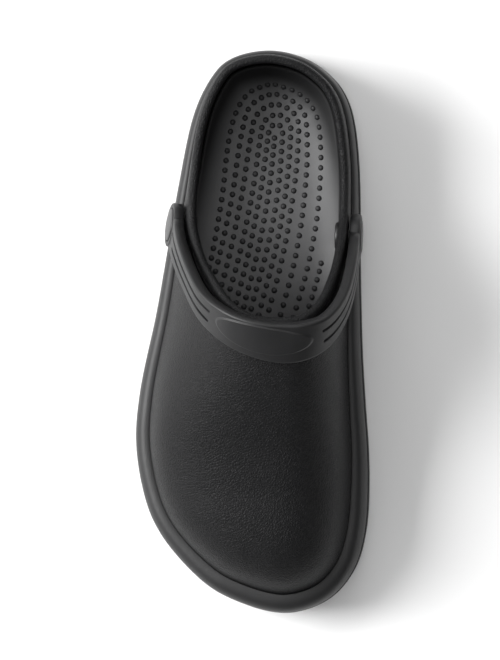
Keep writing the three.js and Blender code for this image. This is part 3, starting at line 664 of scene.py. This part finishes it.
def channel_mesh(form):
    """Bars that cut the tread's channels, each ending where the plain rim starts."""
    sizes = form.sizes
    width, depth, pitch = sizes.channel_width, sizes.channel_depth, sizes.channel_pitch
    rim = form.loop + form.inward * sizes.channel_margin
    vertices, faces = [], []

    def bar(corners):
        start = len(vertices)
        vertices.extend((x, y, z) for z in (-depth, depth) for x, y in corners)
        faces.extend(tuple(start + i for i in face) for face in (
            (3, 2, 1, 0), (4, 5, 6, 7), (0, 1, 5, 4), (1, 2, 6, 5), (2, 3, 7, 6), (3, 0, 4, 7),
        ))

    def sides(y):
        near = rim[np.argsort(np.abs(rim[:, 1] - y))[:12]]
        return near[:, 0].min(), near[:, 0].max()

    for first, last in ((0.105, 0.27), (0.535, 0.77)):
        bars = int((last - first) * sizes.shoe_length / pitch) + 1
        for i in range(bars):
            y = float(form.y_at(first)) - i * pitch
            (left_low, right_low), (left_high, right_high) = sides(y - width / 2), sides(y + width / 2)
            bar(((left_low, y - width / 2), (right_low, y - width / 2),
                 (right_high, y + width / 2), (left_high, y + width / 2)))
        x = float(form.ridge_across((first + last) / 2)) * sizes.ball_width
        top, bottom = float(form.y_at(first)), float(form.y_at(last))
        bar(((x - width / 2, bottom), (x + width / 2, bottom), (x + width / 2, top), (x - width / 2, top)))
    mesh = bpy.data.meshes.new("channels")
    mesh.from_pydata((np.array(vertices) * MM).tolist(), [], faces)
    return mesh


class CLOG_OT_upper(bpy.types.Operator):
    """Builds the hollow upper with its collar bead and leather-grained vamp"""
    bl_idname = "clog.upper"
    bl_label = "Upper"

    def execute(self, context):
        # The same black foam, moulded with a fine leather grain over the vamp.
        colours = context.scene.clog_colours
        material = foam_material("Upper grained foam", colours.upper, 0.5,
                                 (("cloud", 14.0, 0.2), ("grain", 1.3, 0.17), ("cloud", 0.4, 0.04)), 0.17)
        form = Form(in_millimetres(context.scene.clog_sizes))
        outer, inner, rim, base = upper_walls(form)
        rings = [*outer, *base, *inner[::-1], *rim]
        add_piece("upper_shell", [ring_faces(rings, wrapped=True)], material, "upper", crease=60)
        return {"FINISHED"}


def grid_normals(grid):
    along = np.gradient(grid, axis=0)
    around = np.roll(grid, -1, axis=1) - np.roll(grid, 1, axis=1)
    normals = unit(np.cross(around, along))
    return normals if normals[len(grid) // 2, :, 2].mean() > 0 else -normals


def upper_walls(form):
    sizes = form.sizes
    dense = form.upper_lines()
    length = np.concatenate((
        np.zeros((1, form.count)), np.cumsum(np.linalg.norm(np.diff(dense, axis=0), axis=2), axis=0),
    ))
    near = np.array((0, 0.6, 1.2, 1.8, 2.4, 3.0, 3.5, 4.0, 4.6, 5.4))
    foot = np.array((6.0, 4.5, 3.2, 2.2, 1.4, 0.7, 0.0))
    total = length[-1]
    middle = np.linspace(0, 1, 40)[1:-1, None] * (total - near[-1] - foot[0]) + near[-1]
    wanted = np.concatenate((
        np.broadcast_to(near[:, None], (len(near), form.count)), middle, total - foot[:, None],
    ))
    grid = np.empty((len(wanted), form.count, 3))
    for i in range(form.count):
        for k in range(3):
            grid[:, i, k] = np.interp(wanted[:, i], length[:, i], dense[:, i, k])
    normals = grid_normals(grid)
    normals[-1] = np.concatenate((-form.inward, np.zeros((form.count, 1))), axis=1)
    bead = 0.35 * np.exp(-0.5 * ((wanted - 1.4) / 1.0) ** 2) - 0.4 * np.exp(-0.5 * ((wanted - 3.6) / 0.45) ** 2)
    outer = grid + normals * bead[..., None]
    inside = list(range(0, len(grid) - 1, 3)) + [len(grid) - 1]
    inner = grid[inside] - normals[inside] * sizes.upper_wall
    up = unit(grid[0] - grid[1])
    half = (sizes.upper_wall + bead[0]) / 2
    middle_wall = outer[0] - normals[0] * half[:, None]
    rim = [middle_wall + half[:, None] * (normals[0] * math.cos(a) + up * math.sin(a))
           for a in np.linspace(math.pi, 0, 9)[1:-1]]
    low = form.seam_z(form.loop[:, 1]) + sizes.gap
    base = [flat(form.loop + form.inward * (form.inset + d)[:, None], low)
            for d in (sizes.seam_groove, sizes.upper_wall)]
    return list(outer), list(inner), rim, base


class CLOG_OT_footbed(bpy.types.Operator):
    """Builds the cupped footbed and its raised massage nubs"""
    bl_idname = "clog.footbed"
    bl_label = "Footbed"

    def execute(self, context):
        # A softer foam footbed in the same black, with a dull moulded skin.
        colours = context.scene.clog_colours
        # The footbed darkens up the sides of its cup, from 31.5 to 39 mm high, as painted shade.
        material = foam_material("Footbed moulded foam", colours.footbed, 0.5,
                                 (("cloud", 9.0, 0.15), ("cloud", 0.6, 0.03)), shade_by_height=(31.5, 39.0, 0.25))
        form = Form(in_millimetres(context.scene.clog_sizes))
        piece = add_piece("footbed", [ring_faces(footbed_rings(form))], material, "insole", 60)
        tree = BVHTree.FromPolygons([v.co for v in piece.data.vertices], [p.vertices for p in piece.data.polygons])
        shells = [shell for place in nub_places(form) for shell in nub(tree, place, form.sizes)]
        # The nubs are the footbed's foam; their darker colour is painted shade, and they have less sheen and only
        # fine relief.
        nub_shaded_foam = foam_material("Footbed nub foam, painted darker", colours.nub_shade_colour, 0.5, (("cloud", 0.6, 0.02),), 0.3)
        add_piece("footbed_nubs", shells, nub_shaded_foam, None, crease=60)
        return {"FINISHED"}


def footbed_rings(form, cup_front=0.4):
    sizes = form.sizes
    cup = sizes.insole_cup
    clear = form.inset + sizes.upper_wall + sizes.gap
    wall = form.loop + form.inward * clear[:, None]
    cup_z = form.seam_z(wall[:, 1]) + cup * mix(1, cup_front, np.clip(form.along_at(wall[:, 1]) * 4 - 0.4, 0, 1))
    lines = form.upper_lines()
    normals = grid_normals(lines)
    edge = np.empty((form.count, 3))
    for i in range(form.count):
        z = lines[:, i, 2]
        k = len(z) - 1 - int(np.argmax(z[::-1] >= cup_z[i]))
        share = 0 if k + 1 >= len(z) else (z[k] - cup_z[i]) / max(z[k] - z[k + 1], 1e-6)
        j = min(k + 1, len(z) - 1)
        point = mix(lines[k, i], lines[j, i], share)
        edge[i] = point - mix(normals[k, i], normals[j, i], share) * (sizes.upper_wall + 2 * sizes.gap)
    inside = edge.copy()
    inside[:, :2] += form.inward * sizes.insole_lip
    lip_top = (edge + inside) / 2
    lip_top[:, 2] += 0.5

    # The footbed rises early towards the arch on the inner side, and late on the outer side.
    fall = 5 - 2.2 * np.clip((inside[:, 0] - form.ridge(inside[:, 1])[:, 0]) / 30, 0, 1)

    def top(place, share):
        floor = form.footbed_z(place[:, 1]) + sizes.insole_thickness
        return mix(floor, inside[:, 2], (1 - share) ** fall)

    bottom = flat(wall + form.inward, form.footbed_z(wall[:, 1]) + sizes.gap)
    side = flat(wall, form.footbed_z(wall[:, 1]) + sizes.gap + 1)
    rings = inward_rings(form, bottom, (0.9, 0.6, 0.3), lambda p, s: form.footbed_z(p[:, 1]) + sizes.gap)
    rings += [bottom, side, flat(wall, form.seam_z(form.loop[:, 1])), edge, lip_top, inside]
    shares = (0.02, 0.045, 0.075, 0.11, 0.15, 0.2, 0.26, 0.33, 0.41, 0.5, 0.6, 0.7, 0.8, 0.9)
    return rings + inward_rings(form, inside, shares, top)


def nub_places(form):
    """Places of the nubs seen from above, on the legs of rows that turn round the heel."""
    pitch = form.sizes.nub_pitch
    outer, inner = curve_of(NUB_FIELD, "outer"), curve_of(NUB_FIELD, "inner")
    turning = np.linspace(0, math.pi / 2, 30)[:-1]
    places = []
    for row in zip(*NUB_ROWS.values()):
        turn, bend = row[6:]
        for side, (heel, middle, front) in enumerate((row[:3], row[3:6])):
            if side and row[0] == row[3]:
                continue
            along = np.concatenate((turn + bend * (1 - np.cos(turning)), np.arange(turn + bend, 0.49, 0.0005)))
            start = mix((row[0] + row[3]) / 2, heel, np.append(np.sin(turning), np.ones(len(along) - 29)))
            t = np.clip((along - 0.14) / 0.3, 0, 1)
            share = start + np.where(t < 0.5, mix(0, middle - heel, t * 2), mix(middle, front, t * 2 - 1) - heel)
            line = np.stack((mix(outer(along), inner(along), share) * form.sizes.ball_width, form.y_at(along)), 1)
            length = np.concatenate(([0], np.cumsum(np.linalg.norm(np.diff(line, axis=0), axis=1))))
            at = pitch * 0.4
            while at < length[-1]:
                places.append([np.interp(at, length, line[:, k]) for k in (0, 1)])
                at += pitch * (1.03 if side else 1) * (1 - 0.18 * math.exp(-at / 15))
    return places


def nub(tree, place, sizes):
    """One low rounded peg that stands on the footbed, or nothing where the footbed isn't below it."""
    hit, normal, _, _ = tree.ray_cast(Vector((place[0] * MM, place[1] * MM, 0.06)), Vector((0, 0, -1)))
    if hit is None or hit.z > 0.045:
        return []
    shape = ((1.25, -0.4), (1.2, 0.02), (1.08, 0.16), (0.99, 0.4), (0.86, 0.66), (0.64, 0.86), (0.34, 0.97), (0.1, 1))
    profile = [(sizes.nub_radius * radius, sizes.nub_height * height) for radius, height in shape]
    return [lathe(profile, np.array(hit) / MM, tuple(normal), steps=14)]


class CLOG_OT_strap(bpy.types.Operator):
    """Builds the heel strap with its grooves, bare oval panel and round ends, and the rivets"""
    bl_idname = "clog.strap"
    bl_label = "Strap"

    def execute(self, context):
        # Smooth black foam strap, with satin moulded plastic rivets.
        colours = context.scene.clog_colours
        foam = foam_material("Strap smooth foam", colours.strap, 0.46,
                             (("cloud", 9.0, 0.1), ("cloud", 0.5, 0.02)), 0.4)
        plastic = foam_material("Rivet satin plastic", colours.rivet, 0.38,
                                (("cloud", 3.0, 0.03), ("cloud", 0.4, 0.01)))
        sizes = in_millimetres(context.scene.clog_sizes)
        form = Form(sizes)
        shells, rivets = strap_shells(form)
        add_piece("strap_band", shells, foam, "heel_strap", crease=50)
        for side, (origin, axis, inside) in zip(("outer", "inner"), rivets):
            seat = sizes.strap_thickness + sizes.boss_proud - sizes.cap_sink + sizes.gap
            pin, radius, rise = sizes.pin_radius, sizes.cap_radius, sizes.cap_thickness
            cap = lathe((
                (pin, inside - sizes.back_thickness + 0.1), (pin, seat), (radius - 0.25, seat),
                (radius, seat + 0.25), (radius, seat + rise * 0.55), (radius - 0.12, seat + rise * 0.68),
                (radius - 0.45, seat + rise * 0.8), (radius - 1.1, seat + rise * 0.89),
                (radius * 0.65, seat + rise * 0.97), (radius * 0.35, seat + rise * 1.03),
                (radius * 0.1, seat + rise * 1.05),
            ), origin, axis)
            add_piece(f"rivet_head_{side}", [cap], plastic, f"rivet_cap_{side}", crease=50)
            bore, wide, top = pin + sizes.gap, sizes.back_radius, inside - sizes.gap
            back = annulus((
                (bore, top), (wide - 0.2, top), (wide, top - 0.3), (wide, top - 1.2), (wide - 0.3, top - 1.7),
                (wide - 0.9, top - 2.0), (bore + 0.6, top - 2.0), (bore, top - 1.8),
            ), origin, axis)
            add_piece(f"rivet_washer_{side}", [back], plastic, f"rivet_back_{side}", crease=50)
        return {"FINISHED"}


def strap_frames(form, samples=640):
    """Points, tangents, sideways and outward directions, distances and widths along the strap."""
    sizes = form.sizes
    y = form.y_at(STRAP["along"])
    ridge = form.ridge(y)
    direction = np.stack((np.where(STRAP["across"] < 0, -1.0, 1.0), np.zeros(len(y))), axis=1)
    place = ridge + direction * (form.reach(ridge, direction) * np.abs(STRAP["across"]))[:, None]
    seat = form.last_points(place)
    normal = form.last_normals(place)
    points = seat + normal * (STRAP["lift"] * sizes.strap_thickness)[:, None]
    upright = unit(normal * (1, 1, 0))
    normal = unit(mix(normal, upright, STRAP["lean"][:, None]))
    spans = len(points) - 1
    line = centripetal(points, False, 40)
    normals = unit(centripetal(normal, False, 40))
    row = np.arange(len(line)) / 40
    width = curve_of({"row": np.arange(spans + 1) / 1.0, "width": STRAP["width"]}, "width", "row")(row)
    kernel = np.exp(-0.5 * (np.arange(-20, 21) / 8) ** 2)
    kernel /= kernel.sum()

    def eased(values):
        full = np.concatenate((2 * values[0] - values[20:0:-1], values, 2 * values[-1] - values[-2:-22:-1]))
        return np.stack([np.convolve(full[:, k], kernel, "valid") for k in range(full.shape[1])], axis=1)

    line, normals, width = eased(line), unit(eased(normals)), eased(width[:, None])[:, 0]
    length = np.concatenate(([0], np.cumsum(np.linalg.norm(np.diff(line, axis=0), axis=1))))
    at = np.linspace(0, length[-1], samples)
    line = np.stack([np.interp(at, length, line[:, k]) for k in range(3)], axis=1)
    normals = unit(np.stack([np.interp(at, length, normals[:, k]) for k in range(3)], axis=1))
    width = np.interp(at, length, width) * sizes.strap_width
    tangent = unit(np.gradient(line, axis=0))
    sideways = unit(np.cross(tangent, normals))
    outward = unit(np.cross(sideways, tangent))
    return line, tangent, sideways, outward, at, width, seat


def strap_shells(form):
    sizes = form.sizes
    line, tangent, sideways, outward, at, width, seat = strap_frames(form)
    radius, total = sizes.boss_radius, at[-1]
    tail = np.linspace(radius - 0.02, 0.3, 26)
    before = [line[0] - tangent[0] * t for t in tail]
    after = [line[-1] + tangent[-1] * t for t in tail[::-1]]
    line = np.concatenate((before, line, after))
    distance = np.concatenate((-tail, at, total + tail[::-1]))

    def stretched(values):
        return np.concatenate((np.repeat(values[:1], 26, axis=0), values, np.repeat(values[-1:], 26, axis=0)))

    tangent, sideways, outward, width = (stretched(v) for v in (tangent, sideways, outward, width))
    from_end = np.minimum(np.abs(distance), np.abs(total - distance))
    beyond = (distance < 0) | (distance > total)
    round_half = np.sqrt(np.maximum(radius ** 2 - from_end ** 2, 0.02))
    half = np.where(beyond, round_half, np.maximum(width / 2, np.where(from_end < radius, round_half, 0)))
    neck = np.exp(-0.5 * ((from_end - 10.5) / 2.2) ** 2) * ~beyond
    half = half + neck * 0.5
    profile = strap_profile(sizes.strap_thickness)
    rings = []
    for i in range(len(line)):
        ring = []
        for share, corner, height in profile:
            across = share * half[i] + corner * min(1, half[i] / 3)
            ring.append((across, height))
        ring = np.array(ring)
        raised = ring[:, 1] > sizes.strap_thickness - 1e-6
        ring[:, 1] += raised * strap_relief(distance[i], total, ring[:, 0], half[i], sizes)
        rings.append(line[i] + sideways[i] * ring[:, :1] + outward[i] * ring[:, 1:])
    shells = [ring_faces(rings)]
    rivets = []
    for end in (26, len(line) - 27):
        origin, axis = line[end], outward[end]
        row = 0 if end == 26 else len(seat) - 1
        rivets.append((origin, axis, -sizes.upper_wall - float(np.dot(origin - seat[row], axis))))
        inner = sizes.cap_radius + sizes.gap + 0.1
        top = sizes.strap_thickness + sizes.boss_proud
        shells.append(annulus((
            (inner, top - 1.6), (inner, top - 0.3), (inner + 0.25, top), (radius - 1.0, top),
            (radius - 0.35, top - 0.25), (radius - 0.05, top - 0.9), (radius - 0.05, top - 2.2),
        ), origin, axis))
    return shells, rivets


def strap_profile(thickness, corner=1.25, cells=84):
    """The strap's section as (share of half width, shift, height), counter-clockwise from below."""
    bend = [(math.cos(a), math.sin(a)) for a in np.linspace(0, math.pi / 2, 6)]
    right = [(1, (c - 1) * corner, thickness + (s - 1) * corner) for c, s in bend]
    top = [(share, -share * corner, thickness) for share in np.linspace(1, -1, cells)[1:-1]]
    left = [(-share, -shift, height) for share, shift, height in right[::-1]]
    under = [(-1, 0, 0.5), (-1, 0.5, 0), (1, -0.5, 0), (1, 0, 0.5)]
    return [*right, *top, *left, *under]


def strap_relief(distance, total, across, half, sizes):
    """Height of the strap's face over its plain surface: the oval panel, the grooves and the seats."""
    spot = np.hypot((distance - total / 2) / sizes.panel_length * 2,
                    (across + sizes.panel_shift) / sizes.panel_width * 2)
    height = sizes.panel_proud * (1 - smooth_step(0.96, 1.04, spot))
    run = min(distance, total - distance)
    end = total / 2 - sizes.groove_middle
    for k in (0, 1):
        first = sizes.groove_rivet + sizes.groove_stagger * k
        mask = smooth_step(first - 0.3, first + 0.3, run) * (1 - smooth_step(end - 0.3, end + 0.3, run))
        away = np.abs(across - half * (2 * k - 1) / 3)
        wall = 1 - smooth_step(sizes.groove_width / 2 - 0.25, sizes.groove_width / 2 + 0.15, away)
        height = height - sizes.groove_depth * mask * wall
    seat = 1 - smooth_step(sizes.boss_radius - 1.4, sizes.boss_radius - 0.6, np.hypot(run, across))
    return height - sizes.cap_sink * seat


def smooth_step(low, high, value):
    t = np.clip((value - low) / (high - low), 0, 1)
    return t * t * (3 - 2 * t)


class CLOG_OT_stage(bpy.types.Operator):
    """Builds the pale floor, the studio lights and the camera"""
    bl_idname = "clog.stage"
    bl_label = "Stage"

    def execute(self, context):
        scene = context.scene
        mesh = bpy.data.meshes.new("floor")
        mesh.from_pydata([(-3, -3, 0), (3, -3, 0), (3, 3, 0), (-3, 3, 0)], [], [(0, 1, 2, 3)])
        floor = bpy.data.objects.new("floor", mesh)
        # Matt white paper sweep.
        paper = bpy.data.materials.new("White paper")
        paper.use_nodes = True
        shader = paper.node_tree.nodes["Principled BSDF"]
        shader.inputs["Base Color"].default_value = (*scene.clog_colours.floor, 1)
        shader.inputs["Roughness"].default_value = 0.9
        shader.inputs["Specular IOR Level"].default_value = 0.1
        mesh.materials.append(paper)
        scene.collection.objects.link(floor)
        world = bpy.data.worlds.new("Studio")
        world.use_nodes = True
        # The room is lighter on the side of the window-like key, and darker beyond the shoe.
        sky = world.node_tree
        where = add_node(sky, "ShaderNodeTexCoord").outputs["Generated"]
        side = add_node(sky, "ShaderNodeSeparateXYZ", {"Vector": where}).outputs["X"]
        glow = add_node(sky, "ShaderNodeMapRange", {
            "Value": side, "From Min": -1.0, "From Max": 1.0, "To Min": 0.52, "To Max": 0.12,
        })
        sky.nodes["Background"].inputs["Color"].default_value = (1, 1, 1, 1)
        sky.links.new(glow.outputs["Result"], sky.nodes["Background"].inputs["Strength"])
        scene.world = world
        add_light("Key", (-1.5, 0.25, 1.15), (1.0, 1.2), 60)
        add_light("Back", (-0.1, 1.5, 1.3), (1.4, 0.7), 9)
        add_light("Overhead", (0.3, 0.1, 2.3), (1.2, 1.2), 10)
        camera = bpy.data.objects.new("camera", bpy.data.cameras.new("camera"))
        camera.location = (0.0814, -0.002, 1.5)
        back = (camera.location - Vector((-0.0005, 0.0005, 0.02))).normalized()
        right = Vector((0, 1, 0)).cross(back).normalized()
        camera.rotation_euler = Matrix((right, back.cross(right), back)).transposed().to_euler()
        camera.data.lens = 157.0
        camera.data.clip_end = 20
        scene.collection.objects.link(camera)
        scene.camera = camera
        scene.view_settings.view_transform = "Standard"
        return {"FINISHED"}


def add_light(name, place, size, power):
    """A rectangular soft box that faces the shoe."""
    data = bpy.data.lights.new(name, "AREA")
    data.shape = "RECTANGLE"
    data.size, data.size_y = size
    data.energy = power
    lamp = bpy.data.objects.new(name, data)
    lamp.location = place
    lamp.rotation_euler = (-Vector(place)).to_track_quat("-Z", "Y").to_euler()
    bpy.context.scene.collection.objects.link(lamp)


class CLOG_PT_panel(bpy.types.Panel):
    """Sizes and buttons of the clog"""
    bl_idname = "CLOG_PT_panel"
    bl_label = "Foam work clog"
    bl_space_type = "VIEW_3D"
    bl_region_type = "UI"
    bl_category = "Clog"

    def draw(self, context):
        for name in ClogSizes.__annotations__:
            self.layout.prop(context.scene.clog_sizes, name)
        for name in ClogColours.__annotations__:
            self.layout.prop(context.scene.clog_colours, name)
        for operator in OPERATORS:
            self.layout.operator(operator.bl_idname)


OPERATORS = (CLOG_OT_sole, CLOG_OT_footbed, CLOG_OT_upper, CLOG_OT_strap, CLOG_OT_stage)
CLASSES = (ClogSizes, ClogColours, *OPERATORS, CLOG_PT_panel)


def register():
    for cls in CLASSES:
        bpy.utils.register_class(cls)
    bpy.types.Scene.clog_sizes = PointerProperty(type=ClogSizes)
    bpy.types.Scene.clog_colours = PointerProperty(type=ClogColours)


def unregister():
    del bpy.types.Scene.clog_colours
    del bpy.types.Scene.clog_sizes
    for cls in reversed(CLASSES):
        bpy.utils.unregister_class(cls)


def main():
    register()
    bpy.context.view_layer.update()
    bpy.ops.clog.sole()
    bpy.ops.clog.footbed()
    bpy.ops.clog.upper()
    bpy.ops.clog.strap()
    bpy.ops.clog.stage()


if __name__ == "__main__":
    main()
